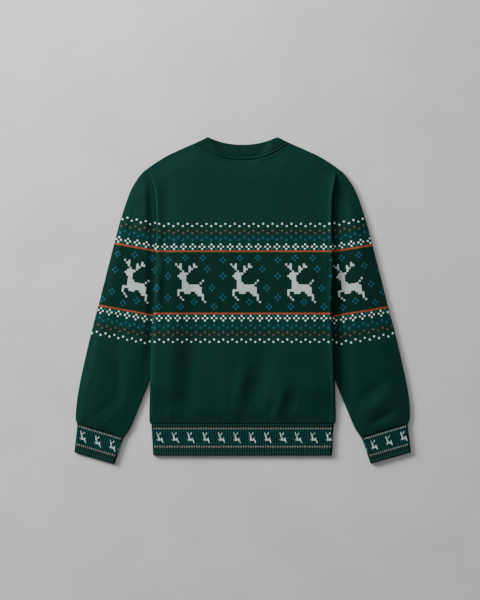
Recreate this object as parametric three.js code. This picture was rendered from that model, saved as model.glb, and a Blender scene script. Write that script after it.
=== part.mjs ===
// A crew-neck Christmas sweater laid flat on its front, with its back upwards.
// It is built from the pieces that are cut and sewn: back, front, two sleeves, collar band, hem band and
// two cuffs. Each piece is a wall of cloth. The front lies on the surface, the back lies on the front, and
// each sleeve is a flattened tube whose inner edge is tucked under the side of the body.
// Millimetres. X runs across the garment, Y from the hem to the collar, Z up from the surface it lies on.
// While the pieces are made, Y = 0 is the hem and X = 0 the middle. The group is centred at the end.
import * as THREE from "three";

// Cloth
const CLOTH = 2.2; // fleece wall of the body and the sleeves
const RIB_CLOTH = 2.6; // ribbed band wall
const SEAM_GAP = 0.3;
const COLLAR_CORNER_GAP = 1.2; // at the end of the shoulder seam, where the collar's fold turns past it
const EDGE_GAP = 1.0; // between the two layers where they meet at a fold or a seam
const SLEEVE_TUCK_GAP = 0.5; // between a sleeve's layers where the body presses on it

// Body
const BODY_LENGTH = 700; // from the highest point of the collar to the hem
const HEM_HEIGHT = 69.6;
const HEM_TOP_HALF = 198.6;
const HEM_FOOT_HALF = 194.6;
const SHOULDER_POINT = { x: 208.9, y: 630.6 };
const ARMPIT_Y = 449;
const BODY_LOFT = 2.6;
const SIDE_LIFT = 5.6; // how far the body rises over the tucked sleeve

// Collar
const COLLAR_SEAM = {
  endX: 103.1,
  endY: 684.5,
  backY: 649.2,
  backPower: 2.3,
  frontY: 600,
  frontPower: 2.6,
};
const COLLAR_EDGE = {
  endX: 76.6,
  endY: BODY_LENGTH,
  backY: 680.6,
  backPower: 2.0,
  frontY: 631,
  frontPower: 2.4,
};
const NECK_REST = 0.4; // height of the back of the neck where nothing lies under it

// Ribs of the bands
const RIB_PITCH = 5.0;
const RIB_HEIGHT = 0.5;

// Half width of the body at each height above the hem, from the hem seam to the shoulder point
const SIDE_OUTLINE = [
  { y: HEM_HEIGHT + SEAM_GAP, half: HEM_TOP_HALF },
  { y: 80, half: 203.4 },
  { y: 95, half: 204.8 },
  { y: 122, half: 204.2 },
  { y: 254, half: 199.0 },
  { y: 320, half: 195.0 },
  { y: 400, half: 191.8 },
  { y: ARMPIT_Y, half: 191.1 },
  { y: 555, half: 191.1 },
  { y: 590, half: 195.0 },
  { y: 616, half: 204.0 },
  { y: SHOULDER_POINT.y, half: SHOULDER_POINT.x },
];

// The shoulder seam from the sleeve to the collar
const SHOULDER_LINE = [
  { x: COLLAR_SEAM.endX, y: COLLAR_SEAM.endY },
  { x: 113, y: 681.6 },
  { x: 139.3, y: 670.7 },
  { x: 165.6, y: 658.4 },
  { x: 192.4, y: 642.6 },
  { x: SHOULDER_POINT.x, y: SHOULDER_POINT.y },
];

// Sections across a sleeve from the armhole to the cuff seam: its outer fold, its inner fold, how far the
// section bends along the armhole, and how much air the sleeve holds
const SLEEVE_SECTIONS = [
  { outerX: 208.9, outerY: 630.6, innerX: 191.4, innerY: 449, bend: 1.0, loft: 0 },
  { outerX: 217.5, outerY: 624, innerX: 191.8, innerY: 445.5, bend: 0.82, loft: 0.5 },
  { outerX: 229.5, outerY: 609.5, innerX: 192.1, innerY: 441.5, bend: 0.55, loft: 1.3 },
  { outerX: 245.5, outerY: 581.6, innerX: 192.3, innerY: 436.5, bend: 0.3, loft: 2.2 },
  { outerX: 258.9, outerY: 544.6, innerX: 192.5, innerY: 428, bend: 0.12, loft: 2.8 },
  { outerX: 272.1, outerY: 501.8, innerX: 192.8, innerY: 413, bend: 0.03, loft: 3.2 },
  { outerX: 290.7, outerY: 429.4, innerX: 187, innerY: 377, bend: 0, loft: 3.4 },
  { outerX: 303.6, outerY: 378.8, innerX: 176, innerY: 339, bend: 0, loft: 3.4 },
  { outerX: 315.9, outerY: 330.6, innerX: 170, innerY: 297, bend: 0, loft: 3.4 },
  { outerX: 330.4, outerY: 275.8, innerX: 175, innerY: 246, bend: 0, loft: 3.4 },
  { outerX: 349.9, outerY: 192.4, innerX: 200.8, innerY: 174, bend: 0, loft: 3.4 },
  { outerX: 361.1, outerY: 135.8, innerX: 226.6, innerY: 108, bend: 0, loft: 3.2 },
  { outerX: 366.4, outerY: 92, innerX: 245.4, innerY: 63, bend: 0, loft: 2.6 },
  { outerX: 366.2, outerY: 77, innerX: 254.2, innerY: 48.5, bend: 0, loft: 1.4 },
  { outerX: 363.4, outerY: 69.2, innerX: 261.2, innerY: 38.6, bend: 0, loft: 0 },
];

// How much farther out each sleeve's outer fold lies
const SLEEVE_SPREAD = { left: 0.8, right: 3.2 };

// A cuff from its seam to its open edge
const CUFF_SECTIONS = [
  { outerX: 362.9, outerY: 68.7, innerX: 262.0, innerY: 38.0 },
  { outerX: 366.3, outerY: 38, innerX: 271.8, innerY: 9.8 },
  { outerX: 369.7, outerY: 7.2, innerX: 281.5, innerY: -18.2 },
];

// Soft folds of the upper layers. Each is a ridge, or a trough where its height is negative, that runs up
// and down the garment, leaning by so many degrees clockwise. Its length and width are the distances over
// which it fades.
const BACK_FOLDS = [
  { x: -129, y: 190, length: 62, width: 15, height: -2.4, lean: 7 },
  { x: 7, y: 153, length: 66, width: 14, height: -3.0, lean: 16 },
  { x: 95, y: 122, length: 44, width: 11, height: -2.2, lean: 15 },
  { x: 53, y: 96, length: 22, width: 9, height: -1.4, lean: 30 },
  { x: -52, y: 190, length: 90, width: 34, height: 1.8, lean: 4 },
  { x: 68, y: 180, length: 70, width: 22, height: 1.6, lean: 10 },
  { x: -96, y: 108, length: 30, width: 12, height: 1.1, lean: -20 },
  { x: 140, y: 200, length: 80, width: 24, height: -1.0, lean: -6 },
  { x: -120, y: 560, length: 70, width: 30, height: 1.2, lean: -14 },
  { x: 128, y: 566, length: 64, width: 26, height: 1.3, lean: 12 },
  { x: 8, y: 560, length: 60, width: 42, height: -0.8, lean: 3 },
  { x: -20, y: 400, length: 120, width: 50, height: 0.8, lean: -5 },
];

const SLEEVE_FOLDS = {
  left: [
    { x: -206, y: 560, length: 42, width: 7, height: -2.2, lean: -4 },
    { x: -228, y: 556, length: 48, width: 11, height: 1.5, lean: 8 },
    { x: -297, y: 190, length: 60, width: 13, height: -2.0, lean: 6 },
    { x: -262, y: 206, length: 60, width: 16, height: 1.3, lean: 12 },
    { x: -300, y: 108, length: 34, width: 10, height: -1.7, lean: 52 },
    { x: -322, y: 122, length: 40, width: 13, height: 1.1, lean: 40 },
  ],
  right: [
    { x: 209, y: 556, length: 52, width: 8, height: -2.4, lean: 3 },
    { x: 234, y: 548, length: 50, width: 12, height: 1.3, lean: -10 },
    { x: 270, y: 126, length: 46, width: 15, height: 1.7, lean: -38 },
    { x: 294, y: 92, length: 32, width: 9, height: -1.9, lean: -50 },
    { x: 306, y: 150, length: 46, width: 12, height: -1.3, lean: -44 },
    { x: 330, y: 230, length: 70, width: 16, height: 0.9, lean: -14 },
  ],
};

// How finely each wall is divided. The panels' rows above the armpit meet the points of the sleeves' first
// sections, and their columns at the neck meet those of the collar.
const BODY_ROWS = [HEM_HEIGHT + SEAM_GAP, 80, 95, 118, 140, 162, 200, 240, 290, 340, 375, 405, 428];
const NECK_STATIONS = [0, 13, 26, 39, 52, 65, 78, 90, 99];
const ARMHOLE_STEPS = 9;
const LEVEL_STEPS = 4; // of the armhole's steps, those whose rows are level
const BACK_SHOULDER_STEPS = 8;
const FRONT_SHOULDER_STEPS = 4;
const CURL_STEPS = 2; // points round half a folded edge
const SLEEVE_ALONG = 20;
const BAND_UNDERSIDE = 6; // points across the plain side of a band that rests on the surface

const COLOUR = { green: 0x123a2c, rib: 0x11372b };
const CLOTH_LOOK = { roughness: 0.9, metalness: 0 };
const material = (name) => new THREE.MeshStandardMaterial({ color: COLOUR[name], ...CLOTH_LOOK });

const clamp = (value, low, high) => Math.min(high, Math.max(low, value));
const mix = (a, b, share) => a + (b - a) * share;

function smooth(from, to, value) {
  const t = clamp((value - from) / (to - from), 0, 1);
  return t * t * (3 - 2 * t);
}

// A value of a table's column where another column has the value at, on a smooth curve through its rows
function along(table, by, column, at) {
  const last = table.length - 1;
  let i = 0;
  while (i < last - 1 && at > table[i + 1][by]) i += 1;
  const slope = (a, b) => (table[b][column] - table[a][column]) / (table[b][by] - table[a][by]);
  const width = table[i + 1][by] - table[i][by];
  const here = slope(i, i + 1);
  const before = i > 0 ? (slope(i - 1, i) + here) / 2 : here;
  const after = i < last - 1 ? (here + slope(i + 1, i + 2)) / 2 : here;
  const t = clamp((at - table[i][by]) / width, 0, 1);
  const t2 = t * t;
  const t3 = t2 * t;
  const ends = (2 * t3 - 3 * t2 + 1) * table[i][column] + (3 * t2 - 2 * t3) * table[i + 1][column];
  return ends + ((t3 - 2 * t2 + t) * before + (t3 - t2) * after) * width;
}

function foldHeight(folds, x, y) {
  let height = 0;
  for (const fold of folds) {
    const turn = THREE.MathUtils.degToRad(fold.lean);
    const dx = x - fold.x;
    const dy = y - fold.y;
    const across = (dx * Math.cos(turn) - dy * Math.sin(turn)) / fold.width;
    const lengthwise = (dx * Math.sin(turn) + dy * Math.cos(turn)) / fold.length;
    height += fold.height * Math.exp(-across * across - lengthwise * lengthwise);
  }
  return height;
}

// The curve of one side of the collar, its seam or its free edge, at x
function collarY(line, side, x) {
  const reach = clamp(Math.abs(x) / line.endX, 0, 1);
  return mix(line[side + "Y"], line.endY, Math.pow(reach, line[side + "Power"]));
}

// The neckline seam at x, straight between the stations
function neckline(side, x) {
  const stations = [...NECK_STATIONS, COLLAR_SEAM.endX];
  const reach = Math.min(Math.abs(x), COLLAR_SEAM.endX);
  const next = Math.max(1, stations.findIndex((station) => station >= reach));
  const [from, to] = [stations[next - 1], stations[next]];
  const share = (reach - from) / (to - from);
  return mix(collarY(COLLAR_SEAM, side, from), collarY(COLLAR_SEAM, side, to), share);
}

const sideHalf = (y) => along(SIDE_OUTLINE, "y", "half", y);

// The height of a panel's top edge at x: just under the neckline seam, then the shoulder
function panelTop(side, x) {
  const reach = Math.abs(x);
  if (reach >= COLLAR_SEAM.endX) return along(SHOULDER_LINE, "x", "y", reach);
  const slope = collarY(COLLAR_SEAM, side, reach + 0.5) - collarY(COLLAR_SEAM, side, reach - 0.5);
  return collarY(COLLAR_SEAM, side, reach) - SEAM_GAP * Math.hypot(1, slope);
}

// How far the front is held off the surface by the tucked sleeves
function lift(x, y) {
  const inset = 48 * (smooth(330, 430, y) + 1 - smooth(150, 230, y));
  const lengthwise = smooth(100, 160, y) * (1 - smooth(390, ARMPIT_Y, y));
  return SIDE_LIFT * lengthwise * smooth(112 + inset, 156 + inset, Math.abs(x));
}

// The air between the front and the back
function bodyGap(x, y) {
  const inside = smooth(0, 60, sideHalf(y) - Math.abs(x)) * smooth(0, 34, y - HEM_HEIGHT);
  const below = smooth(0, 46, panelTop("back", x) - y);
  return EDGE_GAP + inside * below * Math.max(0, BODY_LOFT + foldHeight(BACK_FOLDS, x, y));
}

// Where the back of the neck has no front under it, and so sinks to the surface
function neckSag(x, y) {
  return smooth(0, 25, y - collarY(COLLAR_EDGE, "front", x)) * (1 - smooth(45, 78, Math.abs(x)));
}

// Underside of the body's upper layer
function upperFloor(x, y) {
  return mix(lift(x, y) + CLOTH + bodyGap(x, y), NECK_REST, neckSag(x, y));
}

// A closed solid from points and triangles, with its faces turned outwards
function solid(name, points, triangles, colour) {
  let volume = 0;
  for (const [a, b, c] of triangles) {
    volume += points[a].dot(new THREE.Vector3().crossVectors(points[b], points[c]));
  }
  const turned = volume < 0 ? triangles.map(([a, b, c]) => [a, c, b]) : triangles;
  const geometry = new THREE.BufferGeometry().setFromPoints(points);
  geometry.setIndex(turned.flat());
  geometry.computeVertexNormals();
  const mesh = new THREE.Mesh(geometry, material(colour));
  mesh.name = name;
  return mesh;
}

// A wall between an outer and an inner grid of points, each a list of rows. With loop, each row closes on
// itself, and with ring, the last row joins the first.
function wall(name, outer, inner, colour, { loop = false, ring = false } = {}) {
  const height = outer.length;
  const width = outer[0].length;
  const points = [...outer.flat(), ...inner.flat()];
  const at = (skin, row, column) => skin * height * width + (row % height) * width + (column % width);
  const triangles = [];
  const quad = (a, b, c, d) => triangles.push([a, b, c], [a, c, d]);
  const rows = ring ? height : height - 1;
  const columns = loop ? width : width - 1;
  for (let r = 0; r < rows; r += 1) {
    for (let c = 0; c < columns; c += 1) {
      quad(at(0, r, c), at(0, r, c + 1), at(0, r + 1, c + 1), at(0, r + 1, c));
      quad(at(1, r, c), at(1, r + 1, c), at(1, r + 1, c + 1), at(1, r, c + 1));
    }
    if (!loop) {
      quad(at(0, r, 0), at(0, r + 1, 0), at(1, r + 1, 0), at(1, r, 0));
      quad(at(0, r, width - 1), at(1, r, width - 1), at(1, r + 1, width - 1), at(0, r + 1, width - 1));
    }
  }
  if (!ring) {
    for (let c = 0; c < columns; c += 1) {
      const end = height - 1;
      quad(at(0, 0, c), at(1, 0, c), at(1, 0, c + 1), at(0, 0, c + 1));
      quad(at(0, end, c), at(0, end, c + 1), at(1, end, c + 1), at(1, end, c));
    }
  }
  return solid(name, points, triangles, colour);
}

const EDGE_RADIUS = CLOTH + EDGE_GAP / 2;
const curlAngle = (step) => (step / CURL_STEPS) * (Math.PI / 2);

// Columns of a panel from its left edge to its right: the share of the half width, and how far round the
// edge the column is
function panelColumns(shoulderSteps) {
  const reach = SHOULDER_POINT.x - EDGE_RADIUS;
  const corner = COLLAR_SEAM.endX + COLLAR_CORNER_GAP;
  const half = NECK_STATIONS.map((station) => ({ share: station / reach, curl: 0, isShoulder: false }));
  for (let i = 0; i <= shoulderSteps; i += 1) {
    half.push({ share: mix(corner / reach, 1, i / shoulderSteps), curl: 0, isShoulder: true });
  }
  for (let i = 1; i <= CURL_STEPS; i += 1) half.push({ share: 1, curl: curlAngle(i), isShoulder: true });
  const withSign = (columns, sign) => columns.map((column) => ({ ...column, sign }));
  return [...withSign(half.slice(1).reverse(), -1), ...withSign(half, 1)];
}

// Rows of a panel from the hem to its top edge. The first are level, the next bend up to the top edge, and
// the last go round the shoulder.
function panelRows() {
  const top = SHOULDER_POINT.y - EDGE_RADIUS;
  const armholeY = (step) => mix(ARMPIT_Y + EDGE_RADIUS, top, step / ARMHOLE_STEPS);
  const levels = [...BODY_ROWS];
  for (let i = 0; i <= LEVEL_STEPS; i += 1) levels.push(armholeY(i));
  const rows = levels.map((level) => ({ level, yoke: 0, curl: 0 }));
  const level = armholeY(LEVEL_STEPS);
  const yokeSteps = ARMHOLE_STEPS - LEVEL_STEPS;
  for (let i = 1; i <= yokeSteps; i += 1) rows.push({ level, yoke: i / yokeSteps, curl: 0 });
  for (let i = 1; i <= CURL_STEPS; i += 1) rows.push({ level, yoke: 1, curl: curlAngle(i) });
  return rows;
}

// The back or the front. Its side edges below the armpit and its shoulder edges curl round to meet the other
// panel half way up. Its neckline, armholes and hem stay open, face to face with the collar, the sleeves and
// the hem band.
function panel(name, side, shoulderSteps) {
  const upper = side === "back";
  const radius = EDGE_RADIUS;
  const outer = [];
  const inner = [];
  for (const row of panelRows()) {
    const outerRow = [];
    const innerRow = [];
    const rise = radius * Math.sin(row.curl);
    const edgeY = mix(row.level, SHOULDER_POINT.y - radius, row.yoke) + rise;
    const inRise = CLOTH * Math.sin(row.curl);
    const seam = edgeY > ARMPIT_Y ? SEAM_GAP / 2 : 0;
    for (const column of panelColumns(shoulderSteps)) {
      const bulge = radius * Math.sin(column.curl);
      const topX = column.share * (SHOULDER_POINT.x - radius) + bulge;
      const topY = panelTop(side, topX) - (column.isShoulder ? radius : 0);
      const y = mix(row.level, topY, row.yoke) + (column.isShoulder ? rise : 0);
      const flare = row.yoke * (1 - Math.pow(column.share, 4));
      const half = mix(sideHalf(edgeY) - seam, SHOULDER_POINT.x, flare);
      const inHalf = mix(sideHalf(edgeY - inRise) - seam, SHOULDER_POINT.x, flare);
      const x = column.sign * (column.share * (half - radius) + bulge);
      const bottom = upper ? upperFloor(x, y) : lift(x, y);
      const middle = lift(x, y) + CLOTH + EDGE_GAP / 2;
      const sideCurl = column.curl * (1 - smooth(ARMPIT_Y - 16, ARMPIT_Y + 1, y));
      const topCurl = column.isShoulder ? row.curl : 0;
      const curl = Math.max(sideCurl, topCurl);
      const turned = smooth(0, 0.2, curl);
      const sign = upper ? 1 : -1;
      const round = (size) => middle + sign * Math.max(size * Math.cos(curl), SEAM_GAP / 2);
      const flatOuter = upper ? bottom + CLOTH : bottom;
      const flatInner = upper ? bottom : bottom + CLOTH;
      const inBulge = bulge - CLOTH * Math.sin(sideCurl);
      const inX = column.sign * (column.share * (inHalf - radius) + inBulge);
      const inY = y - CLOTH * Math.sin(topCurl);
      outerRow.push(new THREE.Vector3(x, y, mix(flatOuter, round(radius), turned)));
      innerRow.push(new THREE.Vector3(inX, inY, mix(flatInner, round(EDGE_GAP / 2), turned)));
    }
    outer.push(outerRow);
    inner.push(innerRow);
  }
  return wall(name, outer, inner, "green");
}

// One ring of a flattened tube that lies on the surface, between the ends of a section. Share runs across it
// from the outer fold, 0, to the inner fold, 1. The place of a share and the gap between the layers there are
// functions of it.
function flatRing({ place, gap, cloth, across, ribs = 0, width, underside = across }) {
  const outer = [];
  const inner = [];
  const push = (share, outZ, inShare, inZ) => {
    const out = place(share);
    const into = place(inShare);
    outer.push(new THREE.Vector3(out.x, out.y, outZ));
    inner.push(new THREE.Vector3(into.x, into.y, inZ));
  };
  const endShare = (share) => (cloth + gap(share) / 2) / width;
  const first = endShare(0);
  const last = 1 - endShare(1);
  for (let i = 0; i <= underside; i += 1) {
    const share = mix(first, last, i / underside);
    push(share, 0, share, cloth);
  }
  const cap = (from, inwards) => {
    for (let i = 1; i < 2 * CURL_STEPS; i += 1) {
      const angle = (i / (2 * CURL_STEPS)) * Math.PI;
      const turn = inwards ? angle : Math.PI - angle;
      const step = (reach) => (Math.sin(turn) * reach) / width;
      const half = gap(from) / 2;
      const middle = cloth + half;
      const out = inwards ? last + step(middle) : first - step(middle);
      const into = inwards ? last + step(half) : first - step(half);
      push(out, middle - middle * Math.cos(turn), into, middle - half * Math.cos(turn));
    }
  };
  cap(1, true);
  const steps = ribs > 0 ? 2 * ribs : across;
  for (let i = 0; i <= steps; i += 1) {
    const share = mix(last, first, i / steps);
    const raised = ribs > 0 && i % 2 === 1 ? RIB_HEIGHT : 0;
    push(share, 2 * cloth + gap(share) + raised, share, cloth + gap(share));
  }
  cap(0, false);
  return { outer, inner };
}

function sleeve(name, sign) {
  const side = sign < 0 ? "left" : "right";
  const table = SLEEVE_SECTIONS.map((section, index) => ({ ...section, index }));
  const folds = SLEEVE_FOLDS[side];
  const outer = [];
  const inner = [];
  for (let i = 0; i <= SLEEVE_ALONG; i += 1) {
    const at = (i / SLEEVE_ALONG) * (table.length - 1);
    const value = (column) => along(table, "index", column, at);
    const cuffward = smooth(table.length - 4, table.length - 2, at);
    const spread = SLEEVE_SPREAD[side] * smooth(0, 4, at) * (1 - cuffward);
    const from = { x: value("outerX") + spread, y: value("outerY") };
    const to = { x: value("innerX"), y: value("innerY") };
    const bend = Math.max(0, value("bend"));
    const loft = Math.max(0, value("loft"));
    const place = (share) => {
      const x = mix(from.x, to.x, share);
      const y = mix(from.y, to.y, share);
      const onSeam = clamp(mix(SHOULDER_POINT.y, ARMPIT_Y, share), ARMPIT_Y, SHOULDER_POINT.y);
      const straight = mix(SHOULDER_POINT.x, SLEEVE_SECTIONS[0].innerX, share);
      const bow = sideHalf(onSeam) + SEAM_GAP / 2 - straight;
      return { x: sign * (x + bend * bow), y };
    };
    const gap = (share) => {
      const spot = place(share);
      const edge = smooth(0, 0.3, share) * smooth(0, 0.3, 1 - share);
      const outside = Math.abs(spot.x) - sideHalf(spot.y);
      const free = smooth(3, 30, outside) * edge;
      const below = 1 - smooth(ARMPIT_Y - 40, ARMPIT_Y, spot.y);
      const tucked = below * (1 - smooth(2, 26, outside));
      const rest = mix(EDGE_GAP, SLEEVE_TUCK_GAP, tucked);
      const fullness = clamp(loft / 2, 0, 1);
      return rest + free * Math.max(0, loft + fullness * foldHeight(folds, spot.x, spot.y));
    };
    const width = Math.hypot(to.x - from.x, to.y - from.y);
    const ring = flatRing({ place, gap, cloth: CLOTH, across: ARMHOLE_STEPS, width });
    outer.push(ring.outer);
    inner.push(ring.inner);
  }
  return wall(name, outer, inner, "green", { loop: true });
}

// A ribbed tube that lies flat: the hem band or a cuff. Each section has an outer and an inner end.
function band(name, sections) {
  const first = sections[0];
  const ribs = Math.round(Math.hypot(first.innerX - first.outerX, first.innerY - first.outerY) / RIB_PITCH);
  const outer = [];
  const inner = [];
  for (const section of sections) {
    const width = Math.hypot(section.innerX - section.outerX, section.innerY - section.outerY);
    const place = (share) => ({
      x: mix(section.outerX, section.innerX, share),
      y: mix(section.outerY, section.innerY, share),
    });
    const gap = () => EDGE_GAP;
    const ring = flatRing({ place, gap, cloth: RIB_CLOTH, ribs, width, underside: BAND_UNDERSIDE });
    outer.push(ring.outer);
    inner.push(ring.inner);
  }
  return wall(name, outer, inner, "rib", { loop: true });
}

function cuff(name, sign) {
  const mirrored = CUFF_SECTIONS.map((section) => ({
    ...section,
    outerX: sign * section.outerX,
    innerX: sign * section.innerX,
  }));
  return band(name, mirrored);
}

function hemBand() {
  const level = (y, half) => ({ outerX: -half, outerY: y, innerX: half, innerY: y });
  return band("hem_band", [
    level(HEM_HEIGHT, HEM_TOP_HALF - SEAM_GAP),
    level(HEM_HEIGHT / 2, (HEM_TOP_HALF + HEM_FOOT_HALF) / 2),
    level(0, HEM_FOOT_HALF),
  ]);
}

// The collar band, a ring of ribbing folded flat at the two sides of the neck. Its back half lies over its
// front half.
function collar() {
  const reach = COLLAR_SEAM.endX - COLLAR_EDGE.endX;
  const rise = COLLAR_EDGE.endY - COLLAR_SEAM.endY;
  const width = Math.hypot(reach, rise);
  const outwards = { x: rise / width, y: reach / width };
  const radius = RIB_CLOTH + EDGE_GAP / 2;
  const middle = (upperFloor(COLLAR_SEAM.endX, COLLAR_SEAM.endY) + RIB_CLOTH) / 2;
  const backRibs = Math.round((2 * COLLAR_SEAM.endX) / RIB_PITCH);
  const outer = [];
  const inner = [];
  // Where the seam or the free edge leaves the flat and goes round the fold
  const flatEnd = (line, side) => {
    const slope = line.endY - collarY(line, side, line.endX - 1);
    return line.endX - radius / (outwards.x + slope * outwards.y);
  };
  // The seam side, the middle and the free side of the band, at a share of the way from the centre to a fold
  const spotsAt = (side, t) => {
    const seamX = t * flatEnd(COLLAR_SEAM, side);
    const edgeX = t * flatEnd(COLLAR_EDGE, side);
    const seamY = neckline(side, seamX) + SEAM_GAP * Math.pow(t, 8);
    const edgeY = collarY(COLLAR_EDGE, side, edgeX);
    return [0, 0.5, 1].map((depth) => ({ x: mix(seamX, edgeX, depth), y: mix(seamY, edgeY, depth) }));
  };
  const push = (spots, outZ, inZ) => {
    outer.push(spots.map((spot) => new THREE.Vector3(spot.x, spot.y, outZ(spot))));
    inner.push(spots.map((spot) => new THREE.Vector3(spot.x, spot.y, inZ(spot))));
  };
  const floor = (spot) => upperFloor(spot.x, spot.y);
  for (let i = 0; i <= 2 * backRibs; i += 1) {
    const raised = i % 2 === 1 ? RIB_HEIGHT : 0;
    push(spotsAt("back", i / backRibs - 1), (spot) => floor(spot) + RIB_CLOTH + raised, floor);
  }
  const addFold = (sign) => {
    const upper = spotsAt("back", sign);
    const lower = spotsAt("front", sign);
    const tips = [0, 0.5, 1].map((depth) => ({
      x: sign * mix(COLLAR_SEAM.endX, COLLAR_EDGE.endX, depth),
      y: mix(COLLAR_SEAM.endY + SEAM_GAP, COLLAR_EDGE.endY, depth),
    }));
    for (let i = 1; i < 2 * CURL_STEPS; i += 1) {
      const turn = sign > 0 ? i / (2 * CURL_STEPS) : 1 - i / (2 * CURL_STEPS);
      const bulge = (share, size) => (tip, depth) => {
        const x = mix(upper[depth].x, lower[depth].x, turn);
        const y = mix(upper[depth].y, lower[depth].y, turn);
        const out = share * Math.sin(turn * Math.PI);
        const z = middle + size * Math.cos(turn * Math.PI);
        return new THREE.Vector3(mix(x, tip.x, out), mix(y, tip.y, out), z);
      };
      outer.push(tips.map(bulge(1, middle)));
      inner.push(tips.map(bulge(1 - RIB_CLOTH / radius, middle - RIB_CLOTH)));
    }
  };
  addFold(1);
  const frontEnd = flatEnd(COLLAR_SEAM, "front");
  const half = [...NECK_STATIONS.map((station) => station / frontEnd), 1];
  for (const t of [...half.slice(1).reverse(), ...half.map((share) => -share)]) {
    push(spotsAt("front", t), () => 0, () => RIB_CLOTH);
  }
  addFold(-1);
  return wall("collar_band", outer, inner, "rib", { ring: true });
}

const sweater = new THREE.Group();
sweater.add(
  panel("front_panel", "front", FRONT_SHOULDER_STEPS),
  panel("back_panel", "back", BACK_SHOULDER_STEPS),
  sleeve("left_sleeve", -1),
  sleeve("right_sleeve", 1),
  collar(),
  hemBand(),
  cuff("left_cuff", -1),
  cuff("right_cuff", 1),
);

// The origin is the middle of the garment's bounding box, on the surface
const bounds = new THREE.Box3().setFromObject(sweater, true);
const centre = bounds.getCenter(new THREE.Vector3());
sweater.position.set(-centre.x, -centre.y, 0);

export default sweater;
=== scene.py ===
import math

import bpy
import numpy as np
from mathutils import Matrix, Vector


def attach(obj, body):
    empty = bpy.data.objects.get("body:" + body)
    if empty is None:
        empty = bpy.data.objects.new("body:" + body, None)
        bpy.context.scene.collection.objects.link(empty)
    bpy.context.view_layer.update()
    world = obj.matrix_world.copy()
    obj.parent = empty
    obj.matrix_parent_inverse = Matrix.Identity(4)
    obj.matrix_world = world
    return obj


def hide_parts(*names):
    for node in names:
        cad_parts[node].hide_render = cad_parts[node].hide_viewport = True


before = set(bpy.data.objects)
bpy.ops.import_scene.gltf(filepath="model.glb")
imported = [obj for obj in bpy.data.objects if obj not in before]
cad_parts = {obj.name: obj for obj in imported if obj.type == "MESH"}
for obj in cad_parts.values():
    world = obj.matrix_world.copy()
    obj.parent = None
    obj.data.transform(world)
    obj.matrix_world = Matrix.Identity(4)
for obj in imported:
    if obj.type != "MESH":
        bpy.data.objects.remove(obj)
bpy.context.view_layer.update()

MM = 0.001
MIDDLE_Y = 340.9

# Camera, straight above as in the photograph
CAMERA_X, CAMERA_Y, CAMERA_Z = -0.0055, 0.0008, 3.117
camera_data = bpy.data.cameras.new("camera")
camera_data.lens = 85
camera = bpy.data.objects.new("camera", camera_data)
camera.location = (CAMERA_X, CAMERA_Y, CAMERA_Z)
bpy.context.scene.collection.objects.link(camera)
bpy.context.scene.camera = camera

# Sizes shared with the CAD model
CLOTH = 2.2
RIB_CLOTH = 2.6
EDGE_GAP = 1.0
SLEEVE_TUCK_GAP = 0.5
HEM_HEIGHT = 69.6
HEM_TOP_HALF = 200.4
HEM_FOOT_HALF = 196.4
SHOULDER_X, SHOULDER_Y = 208.9, 630.6
ARMPIT_Y = 449
BODY_LOFT = 2.6
SIDE_LIFT = 5.6
NECK_REST = 0.4
EDGE_RADIUS = CLOTH + EDGE_GAP / 2

# The collar's seam and its free edge: the end of each at the fold, and its middle on the back and on the front
COLLAR_SEAM = {"end": (103.1, 687.0), "back": (649.2, 2.3), "front": (600, 2.6)}
COLLAR_EDGE = {"end": (76.6, 700), "back": (683.2, 2.1), "front": (631, 2.4)}

SIDE_OUTLINE = np.array([
    (69.9, 202.6), (74, 204.4), (82, 204.8), (95, 205.0), (122, 204.2), (254, 199.0), (320, 195.0), (400, 191.8),
    (449, 191.1), (555, 191.1), (590, 195.0), (616, 204.0), (630.6, 208.9),
])
SHOULDER_LINE = np.array([
    (103.1, 687.0), (113, 682.9), (139.3, 671.3), (165.6, 658.9), (192.4, 642.6), (208.9, 630.6),
])
# Sections across a sleeve: outer x and y, inner x and y, bend along the armhole, and loft
SLEEVE_SECTIONS = np.array([
    (208.9, 630.6, 191.4, 449, 1.0, 0),
    (217.5, 624, 191.1, 445.5, 0.82, 0.5),
    (229.5, 609.5, 190.9, 441.5, 0.55, 1.3),
    (245.5, 581.6, 190.6, 436.5, 0.3, 2.2),
    (258.9, 544.6, 190.3, 428, 0.12, 2.8),
    (272.1, 501.8, 190, 413, 0.03, 3.2),
    (290.7, 429.4, 186, 377, 0, 3.4),
    (303.6, 378.8, 176, 339, 0, 3.4),
    (315.9, 330.6, 170, 297, 0, 3.4),
    (330.4, 275.8, 175, 246, 0, 3.4),
    (349.9, 192.4, 200.8, 174, 0, 3.4),
    (361.1, 135.8, 226.6, 108, 0, 3.2),
    (366.4, 92, 245.4, 63, 0, 2.6),
    (366.2, 77, 254.2, 48.5, 0, 1.4),
    (363.4, 69.2, 261.2, 38.6, 0, 0),
])
SLEEVE_SPREAD = {"left": 0.8, "right": 3.2}
# The back bulges over to the right: how much further out its right side lies, between the heights in RIGHT_SPAN
RIGHT_SHIFT = 7.5
RIGHT_SPAN = (290, 420, 590, 632)
# Sections of a cuff, from its seam to its open edge: outer x and y, inner x and y
CUFF_SECTIONS = np.array([(362.9, 68.7, 262.0, 38.0), (366.3, 38, 271.8, 9.8), (369.7, 7.2, 281.5, -18.2)])

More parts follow.
